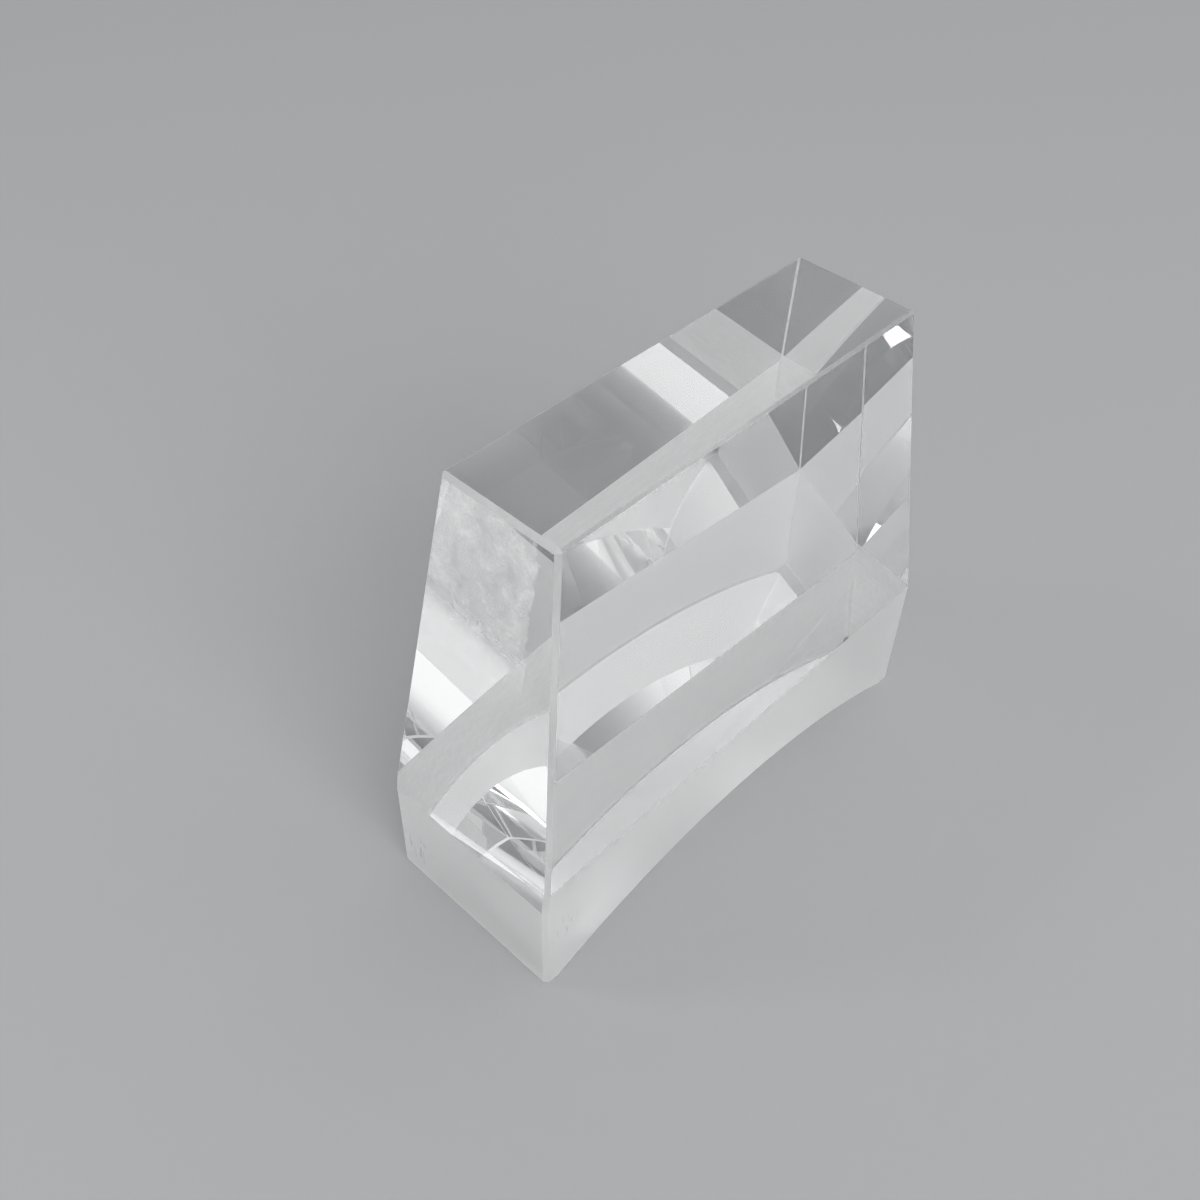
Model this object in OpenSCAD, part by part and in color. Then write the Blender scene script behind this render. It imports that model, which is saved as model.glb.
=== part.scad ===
// Tapered glass prism block with a ground base band, polished leaning walls
// and a concave cylindrical underside. All sizes are in millimetres.
// The origin is at the centre of the base, on the plane that the feet stand on.
// X runs along the block, Y from its front to its back, Z up.

/* [Block] */
// Length of the base, along X
base_length = 60; // [58:1:90]
// Depth of the base, along Y
base_depth = 22.3; // [18:0.1:36]
// Height from the feet to the top face
block_height = 54.5; // [40:0.5:80]

/* [Polished walls] */
// Height at which the front wall starts to lean in
front_bend = 16.1; // [10:0.1:24]
// Height at which the back wall starts to lean in
back_bend = 14.8; // [10:0.1:24]
// Height at which the left wall starts to lean in
left_bend = 13.4; // [10:0.1:24]
// Height at which the right wall starts to lean in
right_bend = 16.4; // [10:0.1:24]
// Distance that the top's front edge stands in from the base
front_inset = 3.9; // [1:0.1:6]
// Distance that the top's back edge stands in from the base
back_inset = 4.4; // [1:0.1:6]
// Distance that the top's left edge stands in from the base
left_inset = 5.9; // [1:0.1:10]
// Distance that the top's right edge stands in from the base
right_inset = 5.6; // [1:0.1:10]

/* [Underside] */
// Radius of the concave underside, whose axis runs along Y
arch_radius = 75; // [62:1:80]
// Height of the underside's crown above the feet
arch_rise = 5.5; // [4:0.1:6]
// Leg of the wide bevel on the right foot's back edge
foot_bevel = 0.7; // [0.2:0.1:1.5]

/* [Edge bevels] */
// Leg of the bevel on the long edges, straight and curved
long_bevel = 0.28; // [0.1:0.01:0.6]
// Leg of the bevel on the edges of the left end
left_bevel = 0.45; // [0.1:0.05:0.6]
// Leg of the bevel on the edges of the right end
right_bevel = 0.15; // [0.1:0.05:0.6]

/* [Hidden] */
half_length = base_length / 2;
half_depth = base_depth / 2;
// Slab that stands for a grinding wheel's flat face, larger than the block
wheel_size = 4 * (base_length + block_height);
wheel_depth = base_length;
// Extra length of a cutter past the faces that it leaves
overrun = 5;
// Segments that the round underside is drawn with
arch_segments = 720;

// Run of each wall per unit of height, above its bend
front_lean = front_inset / (block_height - front_bend);
back_lean = back_inset / (block_height - back_bend);
left_lean = left_inset / (block_height - left_bend);
right_lean = right_inset / (block_height - right_bend);

// Walls as [side along the axis, half size, bend height, lean, leg of bevel]
x_walls = [
    [-1, half_length, left_bend, left_lean, left_bevel],
    [1, half_length, right_bend, right_lean, right_bevel]
];
y_walls = [
    [-1, half_depth, front_bend, front_lean, long_bevel],
    [1, half_depth, back_bend, back_lean, long_bevel]
];

// Outward normals of a wall that crosses X or Y, upright or leaning
function unit(v) = v / norm(v);
function x_normal(wall, leaning) = unit([wall[0], 0, leaning ? wall[3] : 0]);
function y_normal(wall, leaning) = unit([0, wall[0], leaning ? wall[3] : 0]);

// Place of a wall's face, at the height where its upright and leaning parts meet
function bend_place(wall) = wall[0] * wall[1];
// Place of the leaning plane at the height of the base
function foot_place(wall) = wall[0] * (wall[1] + wall[2] * wall[3]);
// Place of the leaning plane at any height
function leaning_place(wall, z) = foot_place(wall) - wall[0] * wall[3] * z;
function wall_place(wall, leaning, z) = leaning ? leaning_place(wall, z) : bend_place(wall);

// Depth of a bevel under its sharp edge, from the walls' two normals
function bevel_depth(a, b, leg) = leg * sin(acos(a * b) / 2);

// Everything beyond the plane through point that faces along normal
module wheel(point, normal) {
    translate(point)
        rotate([0, acos(normal[2] / norm(normal)), atan2(normal[1], normal[0])])
            translate([-wheel_size / 2, -wheel_size / 2, 0])
                cube([wheel_size, wheel_size, wheel_depth]);
}

// Flat bevel on the edge through point, between faces with normals a and b
module edge_bevel(point, a, b, leg) {
    normal = unit(a + b);
    wheel(point - normal * bevel_depth(a, b, leg), normal);
}

// Sawn blank that the block is ground from
module blank() {
    translate([-half_length, -half_depth, 0])
        cube([base_length, base_depth, block_height]);
}

// The four leaning walls, each one plane from its bend to the top
module leaning_walls() {
    for (wall = x_walls)
        wheel([bend_place(wall), 0, wall[2]], x_normal(wall, true));
    for (wall = y_walls)
        wheel([0, bend_place(wall), wall[2]], y_normal(wall, true));
}

// Concave underside, flared at both ends to bevel its curved edges
module arch() {
    rotate([90, 0, 0])
        translate([0, arch_rise - arch_radius, 0]) {
            cylinder(h = base_depth + 2 * overrun, r = arch_radius, center = true, $fn = arch_segments);
            for (turn = [0, 180])
                rotate([0, turn, 0])
                    translate([0, 0, half_depth - long_bevel])
                        cylinder(h = 2 * long_bevel, r1 = arch_radius,
                                 r2 = arch_radius + 2 * long_bevel, $fn = arch_segments);
        }
}

// Wide bevel on the right foot's back edge, clear of the left foot
module right_foot_bevel() {
    intersection() {
        edge_bevel([0, half_depth, 0], [0, 1, 0], [0, 0, -1], foot_bevel);
        translate([0, 0, -overrun])
            cube([half_length + overrun, half_depth + overrun, 2 * overrun]);
    }
}

// Bevels on the edges where an end wall meets a long wall, for each pair of
// upright and leaning parts that do meet
module corner_bevels() {
    for (xw = x_walls, yw = y_walls) {
        base = [bend_place(xw), bend_place(yw), 0];
        edge_bevel(base, x_normal(xw, false), y_normal(yw, false), xw[4]);
        top = [leaning_place(xw, block_height), leaning_place(yw, block_height), block_height];
        edge_bevel(top, x_normal(xw, true), y_normal(yw, true), xw[4]);
        x_first = xw[2] < yw[2];
        z = max(xw[2], yw[2]);
        middle = [wall_place(xw, x_first, z), wall_place(yw, !x_first, z), z];
        edge_bevel(middle, x_normal(xw, x_first), y_normal(yw, !x_first), xw[4]);
    }
}

// Bevels round the top face and along the outer edges of the feet
module rim_bevels() {
    up = [0, 0, 1];
    for (wall = x_walls) {
        edge_bevel([leaning_place(wall, block_height), 0, block_height], x_normal(wall, true), up,
                   wall[4]);
        edge_bevel([bend_place(wall), 0, 0], x_normal(wall, false), -up, wall[4]);
    }
    for (wall = y_walls) {
        edge_bevel([0, leaning_place(wall, block_height), block_height], y_normal(wall, true), up,
                   wall[4]);
        edge_bevel([0, bend_place(wall), 0], y_normal(wall, false), -up, wall[4]);
    }
}

module prism() {
    color([0.86, 0.88, 0.89, 0.6])
        difference() {
            blank();
            leaning_walls();
            arch();
            corner_bevels();
            rim_bevels();
            right_foot_bevel();
        }
}

prism();
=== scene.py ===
import math

import bmesh
import bpy
from mathutils import Matrix, Vector


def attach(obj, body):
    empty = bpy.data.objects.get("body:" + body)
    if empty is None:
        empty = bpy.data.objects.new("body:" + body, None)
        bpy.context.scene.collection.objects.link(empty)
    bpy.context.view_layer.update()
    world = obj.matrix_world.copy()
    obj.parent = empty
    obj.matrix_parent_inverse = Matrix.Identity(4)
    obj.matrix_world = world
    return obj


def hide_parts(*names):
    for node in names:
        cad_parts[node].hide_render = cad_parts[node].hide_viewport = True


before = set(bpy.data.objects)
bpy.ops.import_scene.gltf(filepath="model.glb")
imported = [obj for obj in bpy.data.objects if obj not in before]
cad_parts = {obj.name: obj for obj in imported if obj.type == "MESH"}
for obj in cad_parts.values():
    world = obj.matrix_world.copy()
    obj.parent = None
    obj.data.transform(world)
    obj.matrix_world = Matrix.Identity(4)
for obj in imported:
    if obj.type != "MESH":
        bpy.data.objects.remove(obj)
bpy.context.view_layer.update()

# === Sawn blank ==============================================================
# The block starts as one piece of colourless optical crown glass, sawn square.
# All that follows is ground away from this piece, and nothing is joined on.
MM = 0.001
BASE_LENGTH = 60.0 * MM
BASE_DEPTH = 22.3 * MM
BLOCK_HEIGHT = 54.5 * MM

bpy.ops.object.select_all(action="DESELECT")
bpy.ops.mesh.primitive_cube_add(size=1, location=(0, 0, BLOCK_HEIGHT / 2))
block = bpy.context.object
block.name = "glass_block"
block.data.name = "glass_block"
bpy.ops.transform.resize(value=(BASE_LENGTH, BASE_DEPTH, BLOCK_HEIGHT))
bpy.ops.object.transform_apply(location=True, rotation=True, scale=True)

# === Leaning walls ===========================================================
# Each wall is upright over a low band and leans in above it, as one flat face
# ground and polished from the band to the top. The four bands differ in height.
HALF_LENGTH = BASE_LENGTH / 2
HALF_DEPTH = BASE_DEPTH / 2
# For each wall: which way it faces, height of its bend, inset of its top edge
FRONT_WALL = (Vector((0, -1, 0)), 16.1 * MM, 3.9 * MM)
BACK_WALL = (Vector((0, 1, 0)), 14.8 * MM, 4.4 * MM)
LEFT_WALL = (Vector((-1, 0, 0)), 13.4 * MM, 5.9 * MM)
RIGHT_WALL = (Vector((1, 0, 0)), 16.4 * MM, 5.6 * MM)
WALLS = (FRONT_WALL, BACK_WALL, LEFT_WALL, RIGHT_WALL)


def grind_flat(place, facing):
    """Takes off the glass beyond a plane and leaves one flat face there."""
    bpy.ops.mesh.select_all(action="SELECT")
    bpy.ops.mesh.bisect(
        plane_co=place, plane_no=facing, use_fill=True, clear_outer=True
    )


bpy.ops.object.mode_set(mode="EDIT")
for facing, bend, inset in WALLS:
    reach = HALF_LENGTH if facing.x else HALF_DEPTH
    lean = Vector((0, 0, inset / (BLOCK_HEIGHT - bend)))
    grind_flat(facing * reach + Vector((0, 0, bend)), (facing + lean).normalized())
bpy.ops.object.mode_set(mode="OBJECT")

# === Concave underside =======================================================
# A round tool leaves a shallow cylindrical hollow along the base, which is then
# polished. Only a narrow land is left at each end for the block to stand on.
HOLLOW_RADIUS = 75.0 * MM
HOLLOW_RISE = 5.5 * MM
TOOL_FACETS = 1440


def grind_with(tool):
    """Takes the tool's shape out of the block, and puts the tool away."""
    bpy.ops.object.select_all(action="DESELECT")
    block.select_set(True)
    bpy.context.view_layer.objects.active = block
    cut = block.modifiers.new(tool.name, "BOOLEAN")
    cut.operation = "DIFFERENCE"
    cut.solver = "EXACT"
    cut.object = tool
    bpy.ops.object.modifier_apply(modifier=cut.name)
    bpy.data.objects.remove(tool)


bpy.ops.object.select_all(action="DESELECT")
bpy.ops.mesh.primitive_cylinder_add(
    vertices=TOOL_FACETS,
    radius=HOLLOW_RADIUS,
    depth=2 * BASE_DEPTH,
    location=(0, 0, HOLLOW_RISE - HOLLOW_RADIUS),
    rotation=(math.radians(90), 0, 0),
)
bpy.context.object.name = "round_tool"
grind_with(bpy.context.object)

# === Edge bevels =============================================================
# Every sharp edge has a narrow flat bevel, ground by hand so that it won't chip.
# Being handwork they differ in width, and the left end's are three times the right's.
# Each bevel's leg is an edge weight, which is its share of the bevel unit
BEVEL_UNIT = 1.0 * MM
LEFT_BEVEL = 0.45
RIGHT_BEVEL = 0.15
LONG_BEVEL = 0.28
# Edges that turn less than this stay: the walls' bends, the hollow's steps and ends
SHARP_EDGE = math.radians(30)
# Points closer than this are one point
WELD = 0.001 * MM

bpy.ops.object.mode_set(mode="EDIT")
bpy.ops.mesh.select_all(action="SELECT")
bpy.ops.mesh.remove_doubles(threshold=WELD)
bpy.ops.mesh.select_mode(type="EDGE")
for end, leg in ((-1, LEFT_BEVEL), (1, RIGHT_BEVEL), (0, LONG_BEVEL)):
    bpy.ops.mesh.select_all(action="DESELECT")
    shape = bmesh.from_edit_mesh(block.data)
    for edge in shape.edges:
        if len(edge.link_faces) == 2 and edge.calc_face_angle() > SHARP_EDGE:
            sides = [round(face.normal.x) for face in edge.link_faces]
            edge.select = end in sides if end else sides == [0, 0]
    bmesh.update_edit_mesh(block.data)
    bpy.ops.transform.edge_bevelweight(value=leg)
bpy.ops.object.mode_set(mode="OBJECT")
bevel = block.modifiers.new("edge_bevels", "BEVEL")
bevel.limit_method = "WEIGHT"
bevel.offset_type = "OFFSET"
bevel.width = BEVEL_UNIT
bevel.segments = 1
bevel.use_clamp_overlap = False
bpy.ops.object.modifier_apply(modifier=bevel.name)

# === Right foot's back bevel =================================================
# This one edge is bevelled much wider than the rest, at 45 degrees. The land in
# front of it and the whole left land stay level, and the block stands on them.
FOOT_BEVEL = 0.7 * MM

bpy.ops.object.select_all(action="DESELECT")
bpy.ops.mesh.primitive_cube_add(size=BASE_LENGTH, location=(HALF_LENGTH, 0, 0))
flat_tool = bpy.context.object
flat_tool.name = "flat_tool"
bpy.ops.transform.rotate(value=math.radians(45), orient_axis="X")
reach = HALF_LENGTH / math.sqrt(2)
bpy.ops.transform.translate(value=(0, HALF_DEPTH + reach, FOOT_BEVEL - reach))
bpy.ops.object.transform_apply(location=True, rotation=True, scale=True)
grind_with(flat_tool)

# === Chips ===================================================================
# Two small shell-shaped chips on the left foot, at its back corner and part way
# along its outer edge, where the block has been set down hard.
CHIP_RADIUS = 1.0 * MM
# For each chip: its place on the sharp edge, the way out of the block, its depth
CORNER_CHIP = (Vector((-HALF_LENGTH, HALF_DEPTH, 0)), Vector((-1, 1, -1)), 0.8 * MM)
EDGE_CHIP = (Vector((-HALF_LENGTH, -5.3 * MM, 0)), Vector((-1, 0, -1)), 0.47 * MM)
# The hollow's steps turn less than this and are shaded round, and nothing else is
ROUND_STEP = math.radians(2)

for edge_place, outward, depth in (CORNER_CHIP, EDGE_CHIP):
    bpy.ops.object.select_all(action="DESELECT")
    bpy.ops.mesh.primitive_ico_sphere_add(
        subdivisions=3,
        radius=CHIP_RADIUS,
        location=edge_place + outward.normalized() * (CHIP_RADIUS - depth),
    )
    bpy.context.object.name = "chip_tool"
    grind_with(bpy.context.object)

# Nothing more is ground away, so points are welded and faces turned outwards
bpy.ops.object.mode_set(mode="EDIT")
bpy.ops.mesh.select_all(action="SELECT")
bpy.ops.mesh.remove_doubles(threshold=WELD)
bpy.ops.mesh.normals_make_consistent(inside=False)
bpy.ops.object.mode_set(mode="OBJECT")
bpy.ops.object.shade_smooth_by_angle(angle=ROUND_STEP)


# === Polished crown glass ====================================================
# Optical crown glass, lapped and polished with rouge: colourless, clear right
# through, and mirror-smooth, so that the faces show each other inside it.
def hex_colour(code):
    """An sRGB hex colour as linear RGBA."""
    parts = [int(code[i : i + 2], 16) / 255 for i in (1, 3, 5)]
    linear = [p / 12.92 if p <= 0.04045 else ((p + 0.055) / 1.055) ** 2.4 for p in parts]
    return (*linear, 1.0)


def add_node(material, kind, settings=None, links=None):
    """Adds a node. Settings are attributes or input sockets; links feed inputs."""
    node = material.node_tree.nodes.new(kind)
    for name, value in (settings or {}).items():
        if isinstance(name, str) and hasattr(node, name):
            setattr(node, name, value)
        else:
            node.inputs[name].default_value = value
    for name, source in (links or {}).items():
        material.node_tree.links.new(source, node.inputs[name])
    return node


def new_material(name):
    """An empty node material."""
    material = bpy.data.materials.new(name)
    material.use_nodes = True
    material.node_tree.nodes.clear()
    return material


CROWN_GLASS_IOR = 1.52
CROWN_GLASS = hex_colour("#FDFEFE")

polished = new_material("polished_crown_glass")
polished_shader = add_node(
    polished,
    "ShaderNodeBsdfPrincipled",
    {
        "Base Color": CROWN_GLASS,
        "Roughness": 0.0,
        "IOR": CROWN_GLASS_IOR,
        "Transmission Weight": 1.0,
    },
)
add_node(polished, "ShaderNodeOutputMaterial", links={"Surface": polished_shader.outputs[0]})

# === Handled glass ===========================================================
# The same polished glass on the left wall, where the block is picked up. Grease
# from fingers lies on its upper part as a faint cloudy film with a wavy front edge.
FILM_BLOTCH = 2.4 * MM
FILM_SPECK = 0.3 * MM
# Share of the specks in the grease, the least and most grease, and the share of
# the glass that each of those two clouds
SPECK_SHARE = 0.14
GREASE_RANGE = (0.38, 0.8)
FILM_RANGE = (0.08, 0.52)
# Where the film ends in front and below, and how far it takes to fade in there
FILM_FRONT = -5.2 * MM
FRONT_WANDER = 2.4 * MM
FRONT_FADE = (1.1 * MM, 1.4 * MM)
FILM_FOOT = 35 * MM
FOOT_FADE = 8 * MM

handled = new_material("handled_crown_glass")
wall_place = add_node(handled, "ShaderNodeTexCoord").outputs["Object"]
wall_axes = add_node(handled, "ShaderNodeSeparateXYZ", links={0: wall_place})
blotches = add_node(
    handled,
    "ShaderNodeTexNoise",
    {"Scale": 1 / FILM_BLOTCH, "Detail": 4.0, "Roughness": 0.55, "Distortion": 0.3},
    {"Vector": wall_place},
)
specks = add_node(
    handled,
    "ShaderNodeTexNoise",
    {"Scale": 1 / FILM_SPECK, "Detail": 1.0},
    {"Vector": wall_place},
)
# The front edge follows the blotches, about half a millimetre each way
front_edge = add_node(
    handled,
    "ShaderNodeMath",
    {"operation": "MULTIPLY_ADD", 1: FRONT_WANDER},
    {0: blotches.outputs[0], 2: wall_axes.outputs["Y"]},
)
behind_edge = add_node(
    handled,
    "ShaderNodeMapRange",
    {"From Min": FILM_FRONT + FRONT_FADE[0], "From Max": FILM_FRONT + FRONT_FADE[1]},
    {"Value": front_edge.outputs[0]},
)
above_foot = add_node(
    handled,
    "ShaderNodeMapRange",
    {"From Min": FILM_FOOT, "From Max": FILM_FOOT + FOOT_FADE},
    {"Value": wall_axes.outputs["Z"]},
)
grease = add_node(
    handled,
    "ShaderNodeMath",
    {"operation": "MULTIPLY_ADD", 1: SPECK_SHARE},
    {0: specks.outputs[0], 2: blotches.outputs[0]},
)
thickness = add_node(
    handled,
    "ShaderNodeMapRange",
    {
        "From Min": GREASE_RANGE[0],
        "From Max": GREASE_RANGE[1],
        "To Min": FILM_RANGE[0],
        "To Max": FILM_RANGE[1],
    },
    {"Value": grease.outputs[0]},
)
film_behind = add_node(
    handled,
    "ShaderNodeMath",
    {"operation": "MULTIPLY"},
    {0: thickness.outputs[0], 1: behind_edge.outputs[0]},
)
film = add_node(
    handled,
    "ShaderNodeMath",
    {"operation": "MULTIPLY"},
    {0: film_behind.outputs[0], 1: above_foot.outputs[0]},
)
clear_share = add_node(
    handled, "ShaderNodeMath", {"operation": "SUBTRACT", 0: 1.0}, {1: film.outputs[0]}
)
handled_shader = add_node(
    handled,
    "ShaderNodeBsdfPrincipled",
    {"Base Color": CROWN_GLASS, "Roughness": 0.0, "IOR": CROWN_GLASS_IOR},
    {"Transmission Weight": clear_share.outputs[0]},
)
add_node(handled, "ShaderNodeOutputMaterial", links={"Surface": handled_shader.outputs[0]})

# === Fine-ground glass =======================================================
# The bands, feet and bevels are left as the last loose grit left them: a dense
# field of tiny pits, about 0.02 mm across, that turns clear glass white.
PIT_ROUGHNESS = 0.45
# The pits are too fine to draw, so roughness and scatter stand for them. Only the
# clouds and strokes that the grinding leaves in them are drawn, faintly
GRIT_CLOUD = 1.1 * MM
STROKE_WIDTH = 0.35 * MM
STROKE_LENGTH = 4.0 * MM
GRIT_RANGE = (0.6, 1.4)
SCATTER_RANGE = (0.46, 0.56)
# Share of the scattered light that is turned back, met from outside and from inside
BACK_OUTSIDE = 0.12
BACK_INSIDE = 0.55

ground = new_material("fine_ground_crown_glass")
band_place = add_node(ground, "ShaderNodeTexCoord").outputs["Object"]
clouds = add_node(
    ground,
    "ShaderNodeTexNoise",
    {"Scale": 1 / GRIT_CLOUD, "Detail": 5.0, "Roughness": 0.6},
    {"Vector": band_place},
)
# The last strokes ran along the bands, and left streaks that can only just be seen
along_band = add_node(
    ground,
    "ShaderNodeMapping",
    {"Scale": (1 / STROKE_LENGTH, 1 / STROKE_LENGTH, 1 / STROKE_WIDTH)},
    {"Vector": band_place},
)
strokes = add_node(
    ground,
    "ShaderNodeTexNoise",
    {"Scale": 1.0, "Detail": 3.0},
    {"Vector": along_band.outputs[0]},
)
grit = add_node(
    ground,
    "ShaderNodeMath",
    {"operation": "ADD"},
    {0: clouds.outputs[0], 1: strokes.outputs[0]},
)
scatter_share = add_node(
    ground,
    "ShaderNodeMapRange",
    {
        "From Min": GRIT_RANGE[0],
        "From Max": GRIT_RANGE[1],
        "To Min": SCATTER_RANGE[0],
        "To Max": SCATTER_RANGE[1],
    },
    {"Value": grit.outputs[0]},
)
# Dirt has worked into fine upright scuffs at two places on the bands
SCUFF_WIDTH = 0.22 * MM
SCUFF_LENGTH = 1.5 * MM
SCUFF_EDGE = (0.6, 0.68)
# For each patch of scuffs: its middle, its reach, and how dark it is there
LEFT_SCUFFS = ((-30 * MM, 8.2 * MM, 4.9 * MM), 2.9 * MM, 0.8)
FRONT_SCUFFS = ((-27.2 * MM, -11.15 * MM, 8.4 * MM), 2.6 * MM, 0.35)
# Share of the reach over which a patch is at its darkest
SCUFF_CORE = 0.3
along_scuffs = add_node(
    ground,
    "ShaderNodeMapping",
    {"Scale": (1 / SCUFF_WIDTH, 1 / SCUFF_WIDTH, 1 / SCUFF_LENGTH)},
    {"Vector": band_place},
)
scratches = add_node(
    ground,
    "ShaderNodeTexNoise",
    {"Scale": 1.0, "Detail": 2.0},
    {"Vector": along_scuffs.outputs[0]},
)
lines = add_node(
    ground,
    "ShaderNodeMapRange",
    {"From Min": SCUFF_EDGE[0], "From Max": SCUFF_EDGE[1]},
    {"Value": scratches.outputs[0]},
)
scuffed = None
for place, reach, darkness in (LEFT_SCUFFS, FRONT_SCUFFS):
    away = add_node(
        ground,
        "ShaderNodeVectorMath",
        {"operation": "DISTANCE", 1: place},
        {0: band_place},
    )
    near = add_node(
        ground,
        "ShaderNodeMapRange",
        {
            "From Min": SCUFF_CORE * reach,
            "From Max": reach,
            "To Min": darkness,
            "To Max": 0.0,
        },
        {"Value": away.outputs["Value"]},
    )
    scuffs = add_node(
        ground,
        "ShaderNodeMath",
        {"operation": "MULTIPLY_ADD", 2: 0.0},
        {0: near.outputs[0], 1: lines.outputs[0]},
    )
    if scuffed:
        ground.node_tree.links.new(scuffed.outputs[0], scuffs.inputs[2])
    scuffed = scuffs
# Painted shade: a dark spot is painted in the right foot's back corner, where the block meets
# the floor
CORNER_SHADE_SPOT = (29.8 * MM, 11.1 * MM, 0.5 * MM)
SHADE_SPOT_CORE = 0.5 * MM
SHADE_SPOT_REACH = 0.9 * MM
SHADE_SPOT_DARKNESS = 0.9
corner_away = add_node(
    ground,
    "ShaderNodeVectorMath",
    {"operation": "DISTANCE", 1: CORNER_SHADE_SPOT},
    {0: band_place},
)
corner_painted_shade = add_node(
    ground,
    "ShaderNodeMapRange",
    {
        "From Min": SHADE_SPOT_CORE,
        "From Max": SHADE_SPOT_REACH,
        "To Min": SHADE_SPOT_DARKNESS,
        "To Max": 0.0,
    },
    {"Value": corner_away.outputs["Value"]},
)
# The scuffs' dirt and the painted corner shade, whichever is darker at each point
dirt_and_painted_shade = add_node(
    ground,
    "ShaderNodeMath",
    {"operation": "MAXIMUM"},
    {0: scuffed.outputs[0], 1: corner_painted_shade.outputs[0]},
)
CLEAN_PITS = hex_colour("#FEFEFE")
# The dark tone of the scuffs' dirt, also used for the painted shade in the right foot's back
# corner
DIRT_AND_SHADE_PITS = hex_colour("#4E4D4B")
# Sockets that a Mix node uses for colours
MIX_SHARE = 0
MIX_FIRST = 6
MIX_SECOND = 7
MIX_RESULT = 2
pit_colour = add_node(
    ground,
    "ShaderNodeMix",
    {"data_type": "RGBA", MIX_FIRST: CLEAN_PITS, MIX_SECOND: DIRT_AND_SHADE_PITS},
    {MIX_SHARE: dirt_and_painted_shade.outputs[0]},
).outputs[MIX_RESULT]
# Light that finds its way through the pits, still roughly on its course
pitted = add_node(
    ground,
    "ShaderNodeBsdfPrincipled",
    {
        "Base Color": CROWN_GLASS,
        "Roughness": PIT_ROUGHNESS,
        "IOR": CROWN_GLASS_IOR,
        "Transmission Weight": 1.0,
    },
)
# Light that the pit walls scatter all ways, on through the glass or back out
scattered_on = add_node(ground, "ShaderNodeBsdfTranslucent", links={"Color": pit_colour})
scattered_back = add_node(ground, "ShaderNodeBsdfDiffuse", links={"Color": pit_colour})
# From outside nearly all of it goes in. From inside more than half is turned back,
# because it meets the pits at more than the critical angle
side = add_node(ground, "ShaderNodeNewGeometry")
share_back = add_node(
    ground,
    "ShaderNodeMapRange",
    {"To Min": BACK_OUTSIDE, "To Max": BACK_INSIDE},
    {"Value": side.outputs["Backfacing"]},
)
scattered = add_node(
    ground,
    "ShaderNodeMixShader",
    links={0: share_back.outputs[0], 1: scattered_on.outputs[0], 2: scattered_back.outputs[0]},
)
ground_surface = add_node(
    ground,
    "ShaderNodeMixShader",
    links={0: scatter_share.outputs[0], 1: pitted.outputs[0], 2: scattered.outputs[0]},
)
add_node(ground, "ShaderNodeOutputMaterial", links={"Surface": ground_surface.outputs[0]})

# Bands are upright, bevels and chips face between the axes, and feet are at the
# bottom. The rest is polished, and the polished left wall has been handled
UPRIGHT = 0.02
ALONG_AXIS = 0.9

for finish in (polished, ground, handled):
    block.data.materials.append(finish)
polished_index, ground_index, handled_index = range(3)
for face in block.data.polygons:
    on_band = abs(face.normal.z) < UPRIGHT
    on_bevel = max(abs(part) for part in face.normal) < ALONG_AXIS
    on_foot = face.center.z < WELD
    if on_band or on_bevel or on_foot:
        face.material_index = ground_index
    elif face.normal.x < -ALONG_AXIS:
        face.material_index = handled_index
    else:
        face.material_index = polished_index

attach(block, "root")
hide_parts("prism")

# === Floor ===================================================================
# A wide sheet of plain pale paper that the block stands on. It lies a hair below
# the feet, so that no two faces share one place.
FLOOR_SIZE = 8.0
FLOOR_GAP = 0.02 * MM
PAPER_TONE = "#A6A7A8"

bpy.ops.object.select_all(action="DESELECT")
bpy.ops.mesh.primitive_plane_add(size=FLOOR_SIZE, location=(0, 0, -FLOOR_GAP))
floor = bpy.context.object
floor.name = "floor"
paper = new_material("pale_matt_paper")
paper_shader = add_node(
    paper,
    "ShaderNodeBsdfPrincipled",
    {"Base Color": hex_colour(PAPER_TONE), "Roughness": 0.9, "Specular IOR Level": 0.2},
)
add_node(paper, "ShaderNodeOutputMaterial", links={"Surface": paper_shader.outputs[0]})
floor.data.materials.append(paper)

# === Light ===================================================================
# A plain pale room, dimmer overhead and on the camera's side, with a soft box in
# front. A small lamp behind gives the two glints inside the block's right end.
WALL_TONE = "#FCFDFD"
# For each dimmer part: the way to its middle, the cosines of the angles from there
# at which it starts and is full, and its tone
CEILING = (Vector((-0.2, 0.3, 0.93)), 0.55, 0.95, "#88898A")
CAMERA_SIDE = (Vector((-0.6, -0.8, -0.1)), 0.55, 0.95, "#808182")
ROOM_STRENGTH = 1.05
# For each lamp: its place and width in metres and its power in watts
SOFT_BOX = ((-0.362, -0.996, 0.69), 1.0, 12.5)
SMALL_LAMP = ((-0.108, 0.103, 0.219), 0.035, 0.046)


def add_lamp(name, place, width, power):
    """A soft square lamp that points at the middle of the block."""
    bpy.ops.object.light_add(type="AREA", location=place)
    lamp = bpy.context.object
    lamp.name = name
    lamp.data.size = width
    lamp.data.energy = power
    aim = Vector((0, 0, BLOCK_HEIGHT / 2)) - Vector(place)
    lamp.rotation_euler = aim.to_track_quat("-Z", "Y").to_euler()


add_lamp("soft_box", *SOFT_BOX)
add_lamp("small_lamp", *SMALL_LAMP)

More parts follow.
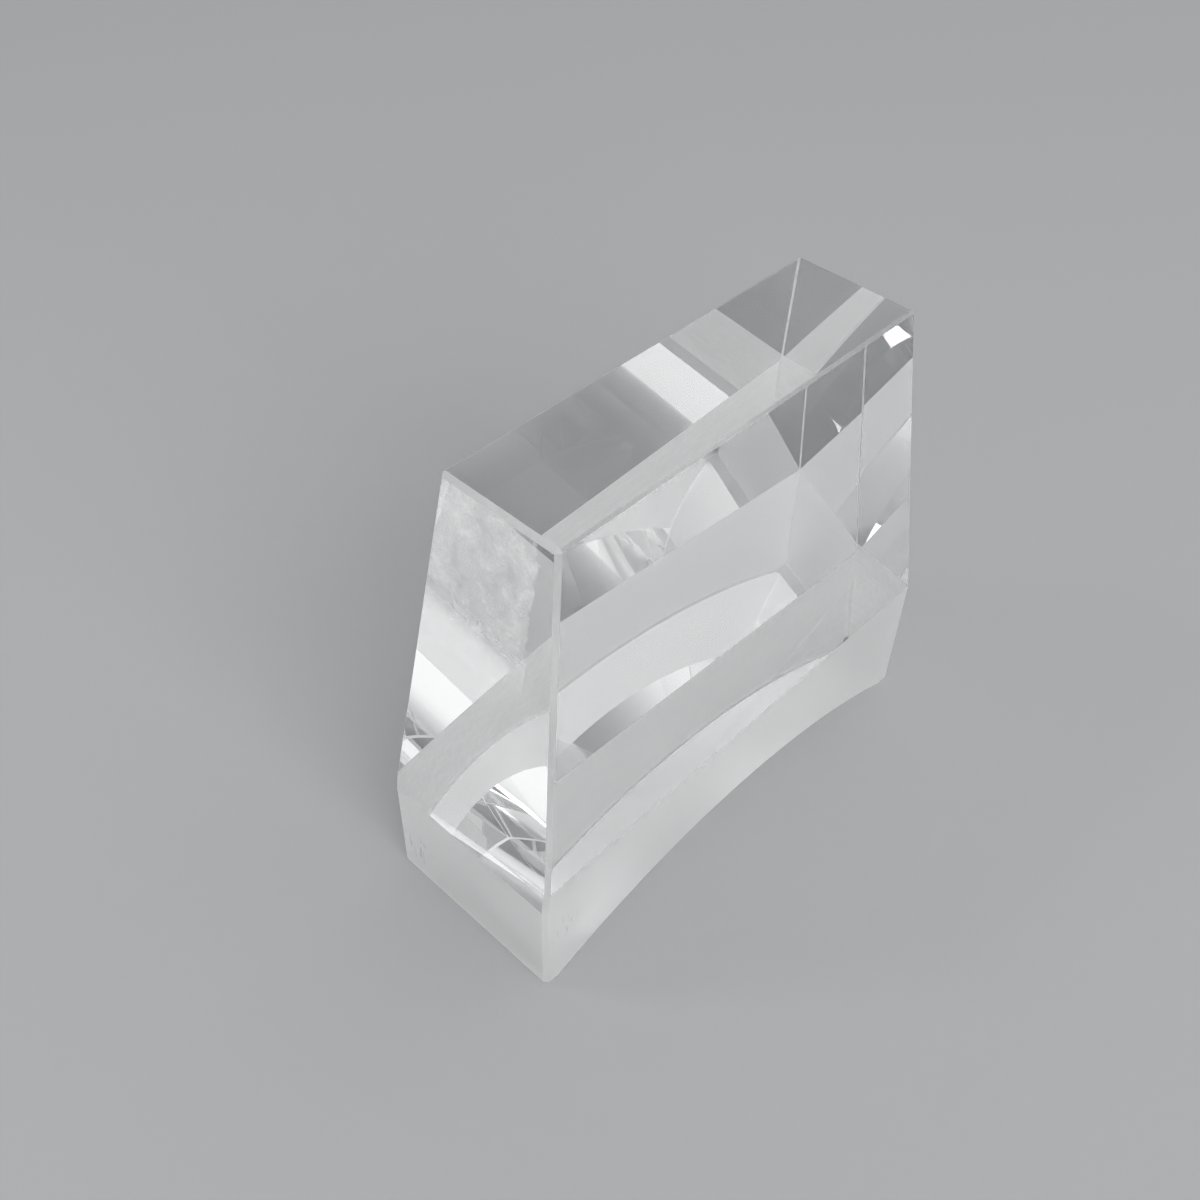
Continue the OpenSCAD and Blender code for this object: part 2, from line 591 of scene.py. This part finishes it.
room = bpy.data.worlds.new("pale_room")
bpy.context.scene.world = room
room.use_nodes = True
room.node_tree.nodes.clear()
room_way = add_node(room, "ShaderNodeTexCoord").outputs["Generated"]
tone_links = {}
for way, starts, ends, tone in (CEILING, CAMERA_SIDE):
    toward = add_node(
        room,
        "ShaderNodeVectorMath",
        {"operation": "DOT_PRODUCT", 1: way.normalized()},
        {0: room_way},
    )
    patch = add_node(
        room,
        "ShaderNodeMapRange",
        {"interpolation_type": "SMOOTHSTEP", "From Min": starts, "From Max": ends},
        {"Value": toward.outputs["Value"]},
    )
    tone_links[MIX_SHARE] = patch.outputs[0]
    room_tone = add_node(
        room,
        "ShaderNodeMix",
        {"data_type": "RGBA", MIX_FIRST: hex_colour(WALL_TONE), MIX_SECOND: hex_colour(tone)},
        tone_links,
    ).outputs[MIX_RESULT]
    tone_links = {MIX_FIRST: room_tone}
room_light = add_node(
    room, "ShaderNodeBackground", {"Strength": ROOM_STRENGTH}, {"Color": room_tone}
)
add_node(room, "ShaderNodeOutputWorld", links={"Surface": room_light.outputs[0]})

# === Camera ==================================================================
# The camera is close to the block, about 140 mm from its middle, and looks down
# on its near corner. Everything is sharp.
CAMERA_PLACE = (-77.3 * MM, -61.0 * MM, 124.99 * MM)
CAMERA_AZIMUTH = math.radians(47.2231)
CAMERA_TILT = math.radians(44.9916)
CAMERA_ROLL = math.radians(1.5424)
LENS_MM = 39.92
SENSOR_MM = 36

bpy.ops.object.camera_add()
camera = bpy.context.object
camera.data.sensor_width = SENSOR_MM
camera.data.lens = LENS_MM
camera.data.clip_start = 1 * MM
camera.data.clip_end = 100
camera.matrix_world = (
    Matrix.Translation(CAMERA_PLACE)
    @ Matrix.Rotation(-CAMERA_AZIMUTH, 4, "Z")
    @ Matrix.Rotation(math.radians(90) - CAMERA_TILT, 4, "X")
    @ Matrix.Rotation(CAMERA_ROLL, 4, "Z")
)
bpy.context.scene.camera = camera
bpy.context.scene.view_settings.view_transform = "Standard"
# Light turns many times inside the block before it comes out
bpy.context.scene.cycles.max_bounces = 32
bpy.context.scene.cycles.diffuse_bounces = 12
bpy.context.scene.cycles.glossy_bounces = 24
bpy.context.scene.cycles.transmission_bounces = 24
